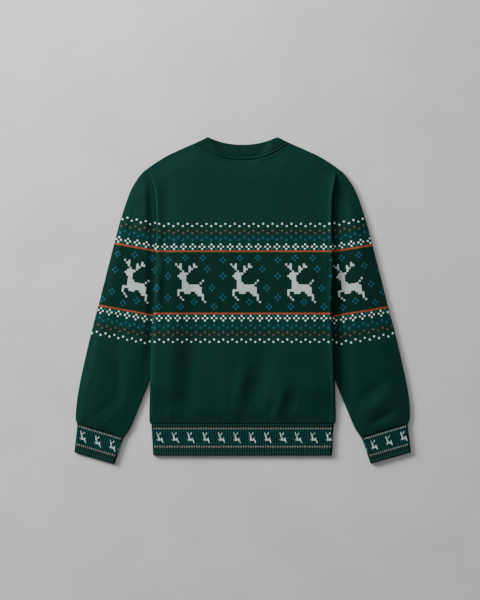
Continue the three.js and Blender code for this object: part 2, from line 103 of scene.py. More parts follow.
# Soft folds: x, y, length, width, height (negative in a trough) and lean in degrees. They shape the air under the
# upper layer, much as the CAD model's do, but lie where the photograph has them.
BACK_FOLDS = [
    (-118, 190, 66, 21, -2.4, 2), (32, 152, 66, 22, -2.4, 12), (110, 120, 46, 16, -1.8, 15),
    (61, 98, 22, 9, -1.4, 30), (-36, 180, 90, 34, 1.6, 6), (74, 180, 70, 22, 1.0, 10),
    (-96, 108, 30, 12, 1.1, -20), (140, 200, 80, 24, -1.0, -6), (-120, 560, 70, 30, 1.2, -14),
    (140, 566, 64, 30, 0.8, 6), (8, 560, 60, 42, -0.8, 3), (-20, 400, 120, 50, 0.8, -5),
]
SLEEVE_FOLDS = {
    "left": [
        (-200, 556, 46, 7, -1.6, -3), (-226, 556, 48, 9, 0.6, 8), (-276, 176, 76, 13, -1.3, 0),
        (-246, 224, 40, 15, 1.0, 8), (-300, 104, 34, 10, -0.7, 52), (-316, 160, 80, 18, 0.7, 4),
    ],
    "right": [
        (209, 556, 52, 8, -2.4, 3), (234, 548, 50, 12, 1.3, -10), (297, 112, 42, 13, 1.8, 52),
        (310, 84, 34, 9, -1.9, 60), (282, 138, 44, 12, -2.0, 54), (330, 230, 70, 16, 0.9, -14),
    ],
}
# Finer creases, in the cloth of the upper layer alone
FINE_FOLDS = {
    "back": [
        (-184, 470, 34, 4, 0.7, 18), (-170, 448, 30, 5, -0.6, 30), (186, 462, 34, 4, 0.7, -18),
        (172, 440, 30, 5, -0.6, -30), (-60, 120, 30, 6, -0.7, 4), (-36, 112, 26, 5, 0.6, 2),
        (120, 104, 22, 6, 0.6, 12), (-160, 104, 26, 6, 0.6, -8), (24, 104, 22, 5, 0.5, 20),
        (-84, 612, 34, 16, 0.4, -38), (86, 612, 34, 16, 0.4, 38),
        (-3, 152, 66, 17, 3.0, 12), (-130, 96, 20, 9, -0.7, 10), (-166, 104, 14, 10, -0.7, 0),
        (84, 122, 44, 12, 2.0, 15), (-180, 200, 90, 20, 1.6, 0), (-154, 196, 60, 16, 1.3, 0),
    ],
    "front": [
        (-120, 200, 60, 12, 0.5, 6), (10, 150, 60, 12, 0.6, -12), (96, 120, 40, 10, 0.5, -14),
        (-60, 520, 60, 12, 0.4, 20), (70, 540, 60, 12, 0.4, -20),
    ],
    "left": [
        (-268, 300, 50, 7, -0.7, 20), (-246, 280, 46, 7, 0.6, 22), (-330, 150, 30, 6, -0.6, 30),
        (-290, 84, 20, 5, 0.7, 50), (-316, 96, 22, 5, -0.6, 46), (-214, 545, 62, 11, 2.6, 3),
        (-246, 530, 50, 9, -0.7, 0), (-272, 168, 70, 10, -0.6, 0), (-322, 150, 70, 15, 0.6, 4),
    ],
    "right": [
        (262, 300, 50, 7, -0.7, -18), (240, 278, 46, 7, 0.6, -22), (326, 140, 30, 6, 0.7, -40),
        (309, 86, 30, 8, -0.7, 60), (296, 113, 36, 11, 0.6, 52), (256, 530, 75, 20, 0.8, -4),
    ],
}


def smooth(low, high, value):
    t = np.clip((value - low) / (high - low), 0, 1)
    return t * t * (3 - 2 * t)


def mix(a, b, share):
    return a + (b - a) * share


def along(places, values, at):
    """The value at a place, on a smooth curve through the places and values of a table."""
    i = np.clip(np.searchsorted(places, at, side="left") - 1, 0, len(places) - 2)
    slopes = np.diff(values) / np.diff(places)
    knots = np.concatenate(([slopes[0]], (slopes[1:] + slopes[:-1]) / 2, [slopes[-1]]))
    width = places[i + 1] - places[i]
    t = np.clip((at - places[i]) / width, 0, 1)
    ends = mix(values[i], values[i + 1], t * t * (3 - 2 * t))
    bend = t * (1 - t) * ((1 - t) * knots[i] - t * knots[i + 1])
    return ends + bend * width


def fold_height(folds, x, y):
    height = np.zeros(np.broadcast(x, y).shape)
    for fold_x, fold_y, length, width, size, lean in folds:
        turn = math.radians(lean)
        dx, dy = x - fold_x, y - fold_y
        across = (dx * math.cos(turn) - dy * math.sin(turn)) / width
        lengthwise = (dx * math.sin(turn) + dy * math.cos(turn)) / length
        height = height + size * np.exp(-across**2 - lengthwise**2)
    return height


def collar_y(line, side, x):
    end_x, end_y = line["end"]
    middle_y, power = line[side]
    return mix(middle_y, end_y, np.clip(np.abs(x) / end_x, 0, 1) ** power)


def side_half(y, x=-1.0):
    """How far the body's side is from the middle, at a height and on the side where x is."""
    shift = RIGHT_SHIFT * smooth(*RIGHT_SPAN[:2], y) * (1 - smooth(*RIGHT_SPAN[2:], y))
    return along(SIDE_OUTLINE[:, 0], SIDE_OUTLINE[:, 1], y) + np.where(np.asarray(x) > 0, shift, 0)


def panel_top(side, x):
    """The height of a panel's top edge at x: the neckline seam, then the shoulder."""
    reach = np.abs(x)
    shoulder = along(SHOULDER_LINE[:, 0], SHOULDER_LINE[:, 1], reach)
    return np.where(reach >= COLLAR_SEAM["end"][0], shoulder, collar_y(COLLAR_SEAM, side, reach))


def lift(x, y):
    """How far the front is held off the surface by the tucked sleeves."""
    inset = 48 * (smooth(330, 430, y) + 1 - smooth(150, 230, y))
    lengthwise = smooth(100, 160, y) * (1 - smooth(390, ARMPIT_Y, y))
    return SIDE_LIFT * lengthwise * smooth(112 + inset, 156 + inset, np.abs(x))


def spread_lift(x, y):
    """How far the upper layer stays above the step that lift makes, since it bridges the step softly."""
    reach = np.abs(x)
    rise = np.where(np.asarray(x) > 0, smooth(20, 170, reach), smooth(100, 160, reach))
    lengthwise = smooth(100, 160, y) * (1 - smooth(400, ARMPIT_Y + 20, y))
    bridge = SIDE_LIFT * lengthwise * rise * smooth(0, 16, side_half(y, x) - reach)
    return np.maximum(0, bridge - lift(x, y))


def body_gap(x, y):
    inside = smooth(0, 60, side_half(y, x) - np.abs(x)) * smooth(0, 34, y - HEM_HEIGHT)
    below = smooth(0, 46, panel_top("back", x) - y)
    return EDGE_GAP + inside * below * np.maximum(0, BODY_LOFT + fold_height(BACK_FOLDS, x, y))


def upper_floor(x, y):
    """Underside of the body's upper layer. The back of the neck, with no front under it, sinks."""
    sag = smooth(0, 25, y - collar_y(COLLAR_EDGE, "front", x)) * (1 - smooth(45, 78, np.abs(x)))
    return mix(lift(x, y) + CLOTH + body_gap(x, y), NECK_REST, sag)


def seam_dip(distance, depth=1.0, width=1.8):
    """How far cloth turns down beside a seam, or stands up on a ridge, at a distance from it."""
    return depth * np.exp(-((distance / width) ** 2))


def gathers(x, y):
    """Small upright ripples where the cloth is drawn into the hem band."""
    wave = np.sin(x * 0.52 + 2.2 * np.sin(x * 0.043 + 1)) * (0.6 + 0.4 * np.sin(x * 0.117 + 2))
    return 0.42 * wave * np.exp(-(y - HEM_HEIGHT) / 13)


def edge_roll(x, y, inside):
    """How far the edges of the back stand up beside the sleeves: broad on the right, narrow on the left."""
    upper = smooth(410, 470, y)
    fall = np.where(inside < 3, 4.5, mix(18.0, 30.0, upper))
    right = seam_dip(inside - 3, 4.4, fall) + seam_dip(inside - 3.5, 2.4, 5)
    right = right * smooth(-0.4, 2.4, inside) * (1 - smooth(596, 628, y))
    right = right * (0.5 * smooth(90, 170, y) + 0.5 * smooth(270, 400, y))
    crest = mix(9, 4.4, upper)
    fall = np.where(inside < crest, mix(8, 4.2, upper), mix(8, 12, upper))
    left = seam_dip(inside - crest, 3.1, fall) * smooth(-0.4, mix(7, 3.4, upper), inside)
    left = left * (0.35 * smooth(76, 110, y) + 0.65 * smooth(250, 400, y)) * (1 - smooth(600, 628, y))
    return np.where(np.asarray(x) > 0, right, left)


def shoulder_fade(y):
    """Less of an armhole's dip near the shoulder."""
    return 1 - 0.7 * smooth(580, 620, y)


def surface_detail(side, x, y):
    """Fine relief of the back or the front: creases, gathers, and dips beside the seams."""
    neck = panel_top(side, x) - y
    near_neck = np.where(np.abs(x) < COLLAR_SEAM["end"][0] + 4, neck, 99)
    inside = side_half(y, x) - np.abs(x)
    armhole = smooth(ARMPIT_Y - 14, ARMPIT_Y + 4, y)
    hem = y - HEM_HEIGHT
    dips = seam_dip(near_neck, 0.8, 1.1) + seam_dip(hem, 1.2, 1.4)
    dips = dips + armhole * seam_dip(inside, 0.9, 1.4) * shoulder_fade(y)
    ridges = seam_dip(near_neck - 5, 0.3, 2.6) + seam_dip(hem - 3.6, 0.4, 1.6)
    edge = smooth(0, 12, inside) * smooth(0, 10, neck)
    roll = edge_roll(x, y, inside) + spread_lift(x, y) if side == "back" else 0
    return edge * (fold_height(FINE_FOLDS[side], x, y) + gathers(x, y)) + ridges - dips + roll


def back_surface(x, y):
    return upper_floor(x, y) + CLOTH + surface_detail("back", x, y)


def front_surface(x, y):
    return np.maximum(0, lift(x, y) - 0.8 * surface_detail("front", x, y))


def grid_faces(rows, columns, offset, wrap_rows=False, wrap_columns=False):
    """Quads of a grid of points, numbered row by row from offset."""
    r = np.arange(rows if wrap_rows else rows - 1)[:, None]
    c = np.arange(columns if wrap_columns else columns - 1)[None, :]
    r2, c2 = (r + 1) % rows, (c + 1) % columns
    corners = [r * columns + c, r * columns + c2, r2 * columns + c2, r2 * columns + c]
    return offset + np.stack([np.broadcast_to(k, (len(r), c.shape[1])) for k in corners], -1).reshape(-1, 4)


def make_object(name, points, faces, maps, material):
    """A mesh object from points in mm of the garment's own frame, its faces, and UV maps given by point."""
    points = np.asarray(points, float)
    tri = np.concatenate([faces[:, [0, 1, 2]], faces[:, [0, 2, 3]]])
    a, b, c = points[tri[:, 0]], points[tri[:, 1]], points[tri[:, 2]]
    if np.einsum("ij,ij->i", a, np.cross(b, c)).sum() < 0:
        faces = faces[:, ::-1]
    placed = (points - (0, MIDDLE_Y, 0)) * MM
    mesh = bpy.data.meshes.new(name)
    mesh.from_pydata(placed.tolist(), [], faces.tolist())
    mesh.update()
    mesh.polygons.foreach_set("use_smooth", np.ones(len(mesh.polygons), bool))
    corner_points = np.empty(len(mesh.loops), np.int32)
    mesh.loops.foreach_get("vertex_index", corner_points)
    for map_name, values in maps.items():
        layer = mesh.uv_layers.new(name=map_name)
        layer.data.foreach_set("uv", np.asarray(values, np.float32)[corner_points].ravel())
    mesh.materials.append(material)
    made = bpy.data.objects.new(name, mesh)
    bpy.context.scene.collection.objects.link(made)
    return made


def shell(name, outer, inner, maps, material, loop=False, ring=False):
    """A closed wall between an outer and an inner grid of points. With loop each row closes on itself, and
    with ring the last row joins the first."""
    rows, columns = outer.shape[:2]
    count = rows * columns
    faces = [
        grid_faces(rows, columns, 0, ring, loop),
        grid_faces(rows, columns, count, ring, loop)[:, ::-1],
    ]

    def rim(line, turned):
        closed = ring if turned else loop
        following = np.roll(line, -1) if closed else line[1:]
        line = line if closed else line[:-1]
        return np.stack([line, line + count, following + count, following], -1)

    index = np.arange(count).reshape(rows, columns)
    if not loop:
        faces += [rim(index[:, 0], True)[:, ::-1], rim(index[:, -1], True)]
    if not ring:
        faces += [rim(index[0], False), rim(index[-1], False)[:, ::-1]]
    points = np.concatenate([outer.reshape(-1, 3), inner.reshape(-1, 3)])
    doubled = {key: np.concatenate([value.reshape(-1, 2)] * 2) for key, value in maps.items()}
    return make_object(name, points, np.concatenate(faces), doubled, material)


# Materials

def srgb(red, green, blue):
    """A linear colour from the 0 to 255 values of a screen."""
    linear = [((v / 255 + 0.055) / 1.055) ** 2.4 if v > 10 else v / 255 / 12.92 for v in (red, green, blue)]
    return (*linear, 1)


BAND_ROWS = 27
# More rows than any chart has
RAMP_ROWS = 32
# The colour sockets of a Mix node
MIX_A, MIX_B, MIX_OUT = 6, 7, 2

# The knitting charts. Each letter is a cell: w ivory, r red, b teal blue, d deep blue, p rust.
DEER = [
    "w.w.....w.....",
    ".ww...w.ww....",
    "..w...ww......",
    "...w..w.......",
    "..wwww........",
    ".wwww.........",
    "..www.........",
    "...ww.......w.",
    "...www.....w..",
    "...wwwwwwww...",
    "...wwwwwwwww..",
    ".wwwwwwwwwww..",
    ".w..www..www..",
    ".w........www.",
    "..w.........w.",
    "...w........w.",
    ".............w",
]
DEER_TOP = 6
# The band repeats every BAND_REPEAT cells. Its cells from CHART_COLUMNS on are plain.
BAND_REPEAT = 24.8
CHART_COLUMNS = 24
# The column and the row of the middle of each small diamond
DIAMONDS = [(4, 3), (12, 3), (21, 4), (14, 8), (21, 11), (16, 16), (21, 20), (8, 22), (2, 24), (17, 24)]


def band_chart():
    """The rows between the red lines, from the first one under the upper line."""
    cells = [["."] * CHART_COLUMNS for _ in range(BAND_ROWS)]
    for number, line in enumerate(DEER):
        cells[DEER_TOP + number][: len(line)] = line
    for column, row in DIAMONDS:
        cells[row][column] = "d"
        for at_row, at_column in ((row - 1, column), (row + 1, column), (row, column - 1), (row, column + 1)):
            cells[at_row][at_column] = "b"
    return ["".join(line) for line in cells[1:]]


def pick(rows, letter):
    """A chart of one letter: True where the chart holds it."""
    return [[cell == letter for cell in line] for line in rows]


def joined(rows, across, down):
    """True where a cell and its neighbour, so many columns across and rows down, are both True."""
    def at(row, column):
        return 0 <= row < len(rows) and 0 <= column < len(rows[row]) and rows[row][column]

    return [[cell and at(r + down, c + across) for c, cell in enumerate(line)] for r, line in enumerate(rows)]


# The dots beyond a red line, from the line outwards. They repeat every 4 columns.
DOT_CHART = [
    "rrrr", "w.t.", ".w.w", "w...", "....", "t...", "..t.",
    "....", "p...", "..p.", "....", "w...", "..w.",
]
# How many rows the dots reach beyond a red line
DOT_ROWS = 12.5
# The small deer of the hem and the cuffs, in fine cells, with fainter ones marked f
SMALL_DEER = [
    ".w......ff....",
    ".ww....fww....",
    ".ww...fww.....",
    "..w..fww......",
    "..ww.ff.......",
    "..www.........",
    "..www.........",
    "...ww.........",
    "...www........",
    "...www.....w..",
    "...www...www..",
    "f..wwwwwwwww..",
    "ffwwwwwwwwww..",
    "f..wwwwwfwwww.",
    "..f.......www.",
    "..f........ww.",
    "...........fww",
    "............fw",
]
SMALL_REPEAT = 26
SMALL_CELL = 1.3
SMALL_SQUEEZE = 1.18
UPPER_LINE_ROW = -6.4
LOWER_LINE_ROW = 24.3
BAND_TOP_Y = 448.7
CELL = 5.02
CELL_WIDTH = 4.86


class Nodes:
    """Short ways to write a material's nodes."""

    def __init__(self, name):
        self.material = bpy.data.materials.new(name)
        self.material.use_nodes = True
        self.tree = self.material.node_tree
        self.shader = self.tree.nodes["Principled BSDF"]

    def add(self, kind, **settings):
        node = self.tree.nodes.new(kind)
        for key, value in settings.items():
            setattr(node, key, value)
        return node

    def link(self, value, socket):
        if isinstance(value, bpy.types.NodeSocket):
            self.tree.links.new(value, socket)
        elif value is not None:
            socket.default_value = value

    def math(self, operation, a, b=None, c=None):
        node = self.add("ShaderNodeMath", operation=operation)
        for socket, value in zip(node.inputs, (a, b, c)):
            self.link(value, socket)
        return node.outputs[0]

    def mix(self, share, a, b):
        node = self.add("ShaderNodeMix", data_type="RGBA")
        self.link(share, node.inputs["Factor"])
        self.link(a, node.inputs[MIX_A])
        self.link(b, node.inputs[MIX_B])
        return node.outputs[MIX_OUT]

    def times(self, a, b):
        return self.math("MULTIPLY", a, b)

    def minus(self, a, b):
        return self.math("SUBTRACT", a, b)

    def both_within(self, value, low, high):
        """1 where a value is between two others, and 0 elsewhere."""
        return self.times(self.math("GREATER_THAN", value, low), self.math("LESS_THAN", value, high))

    def clip(self, value, high):
        return self.math("MINIMUM", self.math("MAXIMUM", value, 0.0), high)

    def finish(self, **values):
        """Sets constant values on the shader's own sockets, each named with _ for a space."""
        for key, value in values.items():
            self.shader.inputs[key.replace("_", " ")].default_value = value

    def bump(self, height, distance):
        node = self.add("ShaderNodeBump")
        node.inputs["Strength"].default_value = 0.5
        node.inputs["Distance"].default_value = distance
        self.link(height, node.inputs["Height"])
        self.link(node.outputs[0], self.shader.inputs["Normal"])

    def range(self, value, low, high, to_low=0.0, to_high=1.0):
        node = self.add("ShaderNodeMapRange", interpolation_type="SMOOTHSTEP")
        for socket, number in zip(node.inputs, (value, low, high, to_low, to_high)):
            self.link(number, socket)
        return node.outputs[0]

    def uv(self, name):
        node = self.add("ShaderNodeUVMap", uv_map=name)
        split = self.add("ShaderNodeSeparateXYZ")
        self.link(node.outputs[0], split.inputs[0])
        return node.outputs[0], split.outputs[0], split.outputs[1]

    def noise(self, vector, scale, detail=2.0, roughness=0.5, colour=False):
        node = self.add("ShaderNodeTexNoise")
        self.link(vector, node.inputs["Vector"])
        node.inputs["Scale"].default_value = scale
        node.inputs["Detail"].default_value = detail
        node.inputs["Roughness"].default_value = roughness
        return node.outputs["Color" if colour else "Fac"]

    def chart(self, layers, column, row):
        """For each of up to three charts of True and False, 1 where its cell at a column and row is True."""
        ramp = self.add("ShaderNodeValToRGB")
        ramp.color_ramp.interpolation = "CONSTANT"
        elements = ramp.color_ramp.elements
        elements.remove(elements[1])
        for number in range(len(layers[0])):
            element = elements[0] if number == 0 else elements.new(number / RAMP_ROWS)
            masks = [sum(2**k for k, cell in enumerate(layer[number]) if cell) for layer in layers]
            element.color = (*(masks + [0, 0])[:3], 1)
        self.link(self.math("DIVIDE", self.math("ADD", row, 0.5), RAMP_ROWS), ramp.inputs[0])
        split = self.add("ShaderNodeSeparateColor")
        self.link(ramp.outputs[0], split.inputs[0])
        power = self.math("ROUND", self.math("POWER", 2.0, column))
        found = []
        for socket in split.outputs[: len(layers)]:
            shifted = self.math("FLOOR", self.math("DIVIDE", self.math("ADD", socket, 0.25), power))
            found.append(self.math("MODULO", shifted, 2.0))
        return found


def disc(g, local_u, local_v, inner, outer):
    """A cell's rounded body: 1 inside and 0 at its corners."""
    corner = g.math("ADD", g.math("POWER", local_u, 2.6), g.math("POWER", local_v, 2.6))
    return g.range(corner, inner, outer, 1.0, 0.0)


def open_reach(g, value, before, after):
    """How far a place is from the middle of its cell, or 0 on a side where the cell runs on into the next one."""
    late = g.math("GREATER_THAN", g.math("FRACT", value), 0.5)
    runs_on = g.math("MULTIPLY_ADD", late, g.minus(after, before), before)
    return g.times(from_middle(g, value), g.minus(1.0, runs_on))


def from_middle(g, value):
    return g.math("ABSOLUTE", g.minus(g.math("FRACT", value), 0.5))


def knit_material(name):
    """The fine knit of the body and the sleeves, with its bands worked from the charts."""
    g = Nodes(name)
    vector, u, v = g.uv("Stitch")
    _, dots, _ = g.uv("Dots")
    wobble = g.add("ShaderNodeSeparateXYZ")
    g.link(g.noise(vector, 2.6, 1.0, colour=True), wobble.inputs[0])
    wobble_u = g.math("MULTIPLY_ADD", wobble.outputs[0], 0.4, -0.2)
    down = g.math("MULTIPLY_ADD", wobble.outputs[1], 0.4, g.minus(v, 0.2))
    across = g.math("ADD", u, wobble_u)
    across_dots = g.math("ADD", dots, wobble_u)
    row = g.math("FLOOR", down)
    local_v = from_middle(g, down)

    # Between the red lines, which are row 0 and row BAND_ROWS. The rows there lie a little high near the top.
    shift = g.minus(g.range(v, 7.0, 22.0, 0.42, 0.0), 0.2)
    shift = g.times(shift, g.range(v, 2.5, 5.5))
    band_down = g.math("ADD", down, shift)
    band_row = g.minus(g.math("FLOOR", band_down), 1.0)
    band_row = g.clip(band_row, BAND_ROWS - 2)
    band_across = g.math("FLOORED_MODULO", across, BAND_REPEAT)
    soft_cell = disc(g, from_middle(g, band_across), from_middle(g, band_down), 0.03, 0.24)
    inside = g.both_within(row, 0.5, BAND_ROWS - 0.5)
    band_column = g.math("FLOOR", band_across)
    rows = band_chart()
    white = pick(rows, "w")
    ivory, teal, blue = g.chart([white, pick(rows, "b"), pick(rows, "d")], band_column, band_row)
    left, right = g.chart([joined(white, -1, 0), joined(white, 1, 0)], band_column, band_row)
    above, below = g.chart([joined(white, 0, -1), joined(white, 0, 1)], band_column, band_row)
    reach_u = open_reach(g, band_across, left, right)
    reach_v = open_reach(g, band_down, above, below)
    band_cell = disc(g, reach_u, reach_v, 0.105, 0.165)

    # Beyond the red lines
    beyond = g.math("MAXIMUM", g.times(row, -1.0), g.minus(row, BAND_ROWS))
    near = g.math("LESS_THAN", beyond, len(DOT_CHART) - 0.5)
    outside = g.times(g.minus(1.0, inside), near)
    dot_row = g.clip(beyond, len(DOT_CHART) - 1)
    dot_column = g.math("FLOORED_MODULO", g.math("FLOOR", across_dots), 4.0)
    dot_cell = disc(g, from_middle(g, across_dots), local_v, 0.06, 0.115)
    soft_dot = disc(g, from_middle(g, across_dots), local_v, 0.03, 0.24)
    wide_dot = disc(g, from_middle(g, across_dots), local_v, 0.04, 0.34)
    dot_ivory, dot_red, dot_teal = g.chart([pick(DOT_CHART, k) for k in "wrt"], dot_column, dot_row)
    (dot_rust,) = g.chart([pick(DOT_CHART, "p")], dot_column, dot_row)

    fuzz = g.noise(vector, 6.0, 3.0, 0.6)
    patchy = g.noise(vector, 0.1, 2.0, 0.5)
    fuzzy = g.range(fuzz, 0.3, 0.7)
    colour = g.mix(fuzzy, srgb(4, 47, 38), srgb(12, 61, 51))
    colour = g.mix(g.range(patchy, 0.3, 0.7, 0.0, 0.25), colour, srgb(3, 45, 35))
    colour = g.mix(g.times(inside, 0.5), colour, srgb(0, 36, 29))
    # The ground is tinged with teal between the rows of white and rust dots
    teal_zone = g.times(g.range(beyond, 2.5, 4.0), g.minus(1.0, g.range(beyond, 6.0, 8.0)))
    tinge = g.times(g.times(teal_zone, outside), 0.55)
    colour = g.mix(tinge, colour, srgb(0, 56, 56))
    rust_zone = g.both_within(beyond, 7.5, 9.5)
    colour = g.mix(g.times(rust_zone, 0.5), colour, srgb(22, 42, 28))
    red_line = g.range(local_v, 0.26, 0.38, 1.0, 0.0)
    layers = [
        (teal, inside, soft_cell, g.mix(fuzzy, srgb(20, 82, 96), srgb(44, 104, 116))),
        (blue, inside, soft_cell, srgb(2, 36, 66)),
        (dot_teal, outside, wide_dot, srgb(30, 92, 98)),
        (dot_rust, outside, soft_dot, g.mix(g.range(patchy, 0.4, 0.6), srgb(104, 82, 66), srgb(92, 88, 80))),
        (dot_red, outside, red_line, g.mix(fuzzy, srgb(172, 62, 40), srgb(164, 84, 54))),
        (ivory, inside, band_cell, g.mix(g.range(fuzz, 0.3, 0.65), srgb(166, 180, 176), srgb(214, 228, 222))),
        (dot_ivory, outside, dot_cell, srgb(236, 255, 247)),
    ]
    for found, where, shape, tint in layers:
        colour = g.mix(g.times(g.times(found, where), shape), colour, tint)
    stitches(g, u, v, 3.0, 4.0, fuzz, colour)
    return g.material


def stitches(g, u, v, per_cell, rows_per_cell, fuzz, colour):
    """Finishes a material with V-shaped stitches and fuzz, and painted shade that darkens its colour between the
    stitches.
    """
    wale = g.math("FRACT", g.times(u, per_cell))
    lean = g.math("ABSOLUTE", g.minus(wale, 0.5))
    leg = g.math("SINE", g.times(g.math("FRACT", g.times(wale, 2.0)), math.pi))
    course = g.math("MULTIPLY_ADD", v, rows_per_cell, lean)
    turn = g.math("SINE", g.times(course, 2 * math.pi))
    height = g.times(leg, g.math("MULTIPLY_ADD", turn, 0.3, 0.7))
    height = g.math("MULTIPLY_ADD", fuzz, 0.5, height)
    # Painted shade: the colour is multiplied darker where the stitches lie low, in the hollows between them
    painted_shade = g.add("ShaderNodeMix", data_type="RGBA", blend_type="MULTIPLY")
    g.link(g.range(height, 0.15, 0.9, 0.5, 0.0), painted_shade.inputs[0])
    g.link(colour, painted_shade.inputs[MIX_A])
    painted_shade.inputs[MIX_B].default_value = (0.35, 0.45, 0.45, 1)
    g.link(painted_shade.outputs[MIX_OUT], g.shader.inputs["Base Color"])
    g.bump(height, 0.0004)
    g.link(g.range(fuzz, 0.2, 0.8, 0.8, 0.98), g.shader.inputs["Roughness"])
    g.finish(Sheen_Weight=0.15, Sheen_Roughness=0.28, Sheen_Tint=(0.32, 0.68, 0.6, 1), Specular_IOR_Level=0.1)


def rib_material(name):
    """The ribbing of the bands, with two broken lines and a row of small deer between them."""
    g = Nodes(name)
    vector, u, v = g.uv("Stitch")
    _, rib, depth = g.uv("Rib")
    wobble = g.add("ShaderNodeSeparateXYZ")
    g.link(g.noise(vector, 1.3, 1.0, colour=True), wobble.inputs[0])
    across = g.math("MULTIPLY_ADD", wobble.outputs[0], 0.9, g.minus(u, 0.45))
    down = g.math("MULTIPLY_ADD", wobble.outputs[1], 0.9, g.minus(v, 0.45))
    row = g.math("FLOOR", down)
    inside = g.both_within(row, -0.5, len(SMALL_DEER) - 0.5)
    clipped = g.clip(row, len(SMALL_DEER) - 1)
    # The small deer are drawn narrower than their chart, about its middle column
    narrow = g.minus(g.times(across, SMALL_SQUEEZE), 7 * (SMALL_SQUEEZE - 1))
    small_column = g.math("FLOOR", g.math("FLOORED_MODULO", narrow, SMALL_REPEAT * SMALL_SQUEEZE))
    ivory, faint = g.chart([pick(SMALL_DEER, "w"), pick(SMALL_DEER, "f")], small_column, clipped)
    # The depth below the seam, in rows of the chart, of the two lines and the ground between them
    from_upper = g.math("ABSOLUTE", g.minus(down, UPPER_LINE_ROW))
    from_lower = g.math("ABSOLUTE", g.minus(down, LOWER_LINE_ROW))
    upper = g.range(from_upper, 0.9, 1.7, 1.0, 0.0)
    lower = g.range(from_lower, 0.9, 1.9, 1.0, 0.0)
    under_upper = g.range(down, UPPER_LINE_ROW, UPPER_LINE_ROW + 1)
    zone = g.times(under_upper, g.range(down, LOWER_LINE_ROW - 1, LOWER_LINE_ROW, 1.0, 0.0))

    groove = g.math("ABSOLUTE", g.math("SINE", g.times(rib, math.pi)))
    on_rib = g.range(groove, 0.25, 0.85)
    fuzz = g.noise(vector, 3.0, 3.0, 0.6)
    mottle = g.noise(vector, 0.45, 2.0, 0.6)
    tone = g.noise(vector, 0.16, 1.0, 0.5)
    plain = g.range(down, 60, 70)
    colour = g.mix(g.range(fuzz, 0.3, 0.7), srgb(16, 52, 45), srgb(34, 76, 67))
    colour = g.mix(plain, colour, srgb(10, 50, 42))
    over_line = g.range(down, UPPER_LINE_ROW - 1, UPPER_LINE_ROW - 0.2, 0.35, 0.0)
    colour = g.mix(over_line, colour, srgb(0, 20, 18))
    teal = g.mix(g.range(tone, 0.4, 0.6), srgb(10, 80, 64), srgb(4, 76, 84))
    teal = g.mix(g.range(mottle, 0.4, 0.6), srgb(2, 38, 34), teal)
    colour = g.mix(g.times(zone, 0.9), colour, teal)
    line_tint = g.mix(g.range(tone, 0.42, 0.58), srgb(150, 130, 132), srgb(156, 168, 158))
    line_tint = g.mix(g.range(mottle, 0.5, 0.75), line_tint, srgb(146, 106, 66))
    broken = g.times(on_rib, g.range(mottle, 0.25, 0.5, 0.5, 1.0))
    both = g.times(g.math("MAXIMUM", upper, lower), broken)
    # Painted shade: the grooves between the ribs are darkened, less so in the band between the lines and in the plain
    # part
    open_rib = g.range(groove, 0.1, 0.85)
    shallow = g.math("MAXIMUM", g.times(zone, 0.7), g.times(plain, 0.8))
    painted_groove_shade = g.mix(g.math("MAXIMUM", open_rib, shallow), srgb(2, 16, 13), colour)
    colour = g.mix(g.times(both, 0.75), painted_groove_shade, line_tint)
    colour = g.mix(g.times(g.times(faint, inside), 0.42), colour, srgb(180, 200, 190))
    small_ivory = g.mix(g.range(fuzz, 0.3, 0.7), srgb(176, 198, 190), srgb(224, 238, 231))
    colour = g.mix(g.times(ivory, inside), colour, small_ivory)
    stitches(g, rib, depth, 2.0, 0.6, fuzz, colour)
    return g.material


def thread_material(name):
    """Sewing thread, a twist of fine plies."""
    g = Nodes(name)
    place = g.add("ShaderNodeTexCoord").outputs["Object"]
    wave = g.add("ShaderNodeTexWave", wave_type="BANDS", bands_direction="DIAGONAL")
    g.link(place, wave.inputs["Vector"])
    wave.inputs["Scale"].default_value = 900
    wave.inputs["Distortion"].default_value = 1.5
    twist = wave.outputs["Fac"]
    fleck = g.noise(place, 800.0, 2.0)
    colour = g.mix(g.range(fleck, 0.3, 0.7), srgb(6, 44, 35), srgb(14, 60, 49))
    colour = g.mix(g.times(twist, 0.35), colour, srgb(6, 34, 27))
    g.link(colour, g.shader.inputs["Base Color"])
    g.bump(twist, 0.0002)
    g.finish(Roughness=0.9, Specular_IOR_Level=0.1)
    return g.material


knit = knit_material("body_knit")
ribbing = rib_material("rib_knit")
thread = thread_material("thread")


def lower_rows(row, spread):
    """Chart rows with those below the lower red line spread out, by so many rows at the last one."""
    at_line = 0.3 * smooth(BAND_ROWS - 1, BAND_ROWS, row)
    return row - spread * (at_line + 0.7 * np.clip((row - BAND_ROWS) / DOT_ROWS, 0, 1.5))


def body_maps(x, y, mirrored):
    """Chart columns and rows on the body, and the columns of the dots, at a place in mm."""
    way = -x if mirrored else x
    row = (BAND_TOP_Y - y) / CELL + 0.5
    upper = (way + 6.6) / (5.123 - 0.0055 * np.clip(row, -12, 0)) + 0.5
    lower = (way + 102.4) / 5.01 + 0.5
    dots = np.where(row < BAND_ROWS / 2, upper, lower)
    row = lower_rows(row, 0.6)
    return {"Stitch": np.stack([(way + 27.1) / CELL_WIDTH, row], -1), "Dots": np.stack([dots, row], -1)}


# Body

PANEL_COLUMNS = 78
CURL_STEPS = 8
# Rows near the hem and how far they reach, the distance between level rows, and rows that bend to the top edge
HEM_ROWS, HEM_REACH = 16, 22
LEVEL_STEP = 2.7
YOKE_ROWS = 56
# The share of the armhole's height below the first bent row
LEVEL_SHARE = 4 / 9


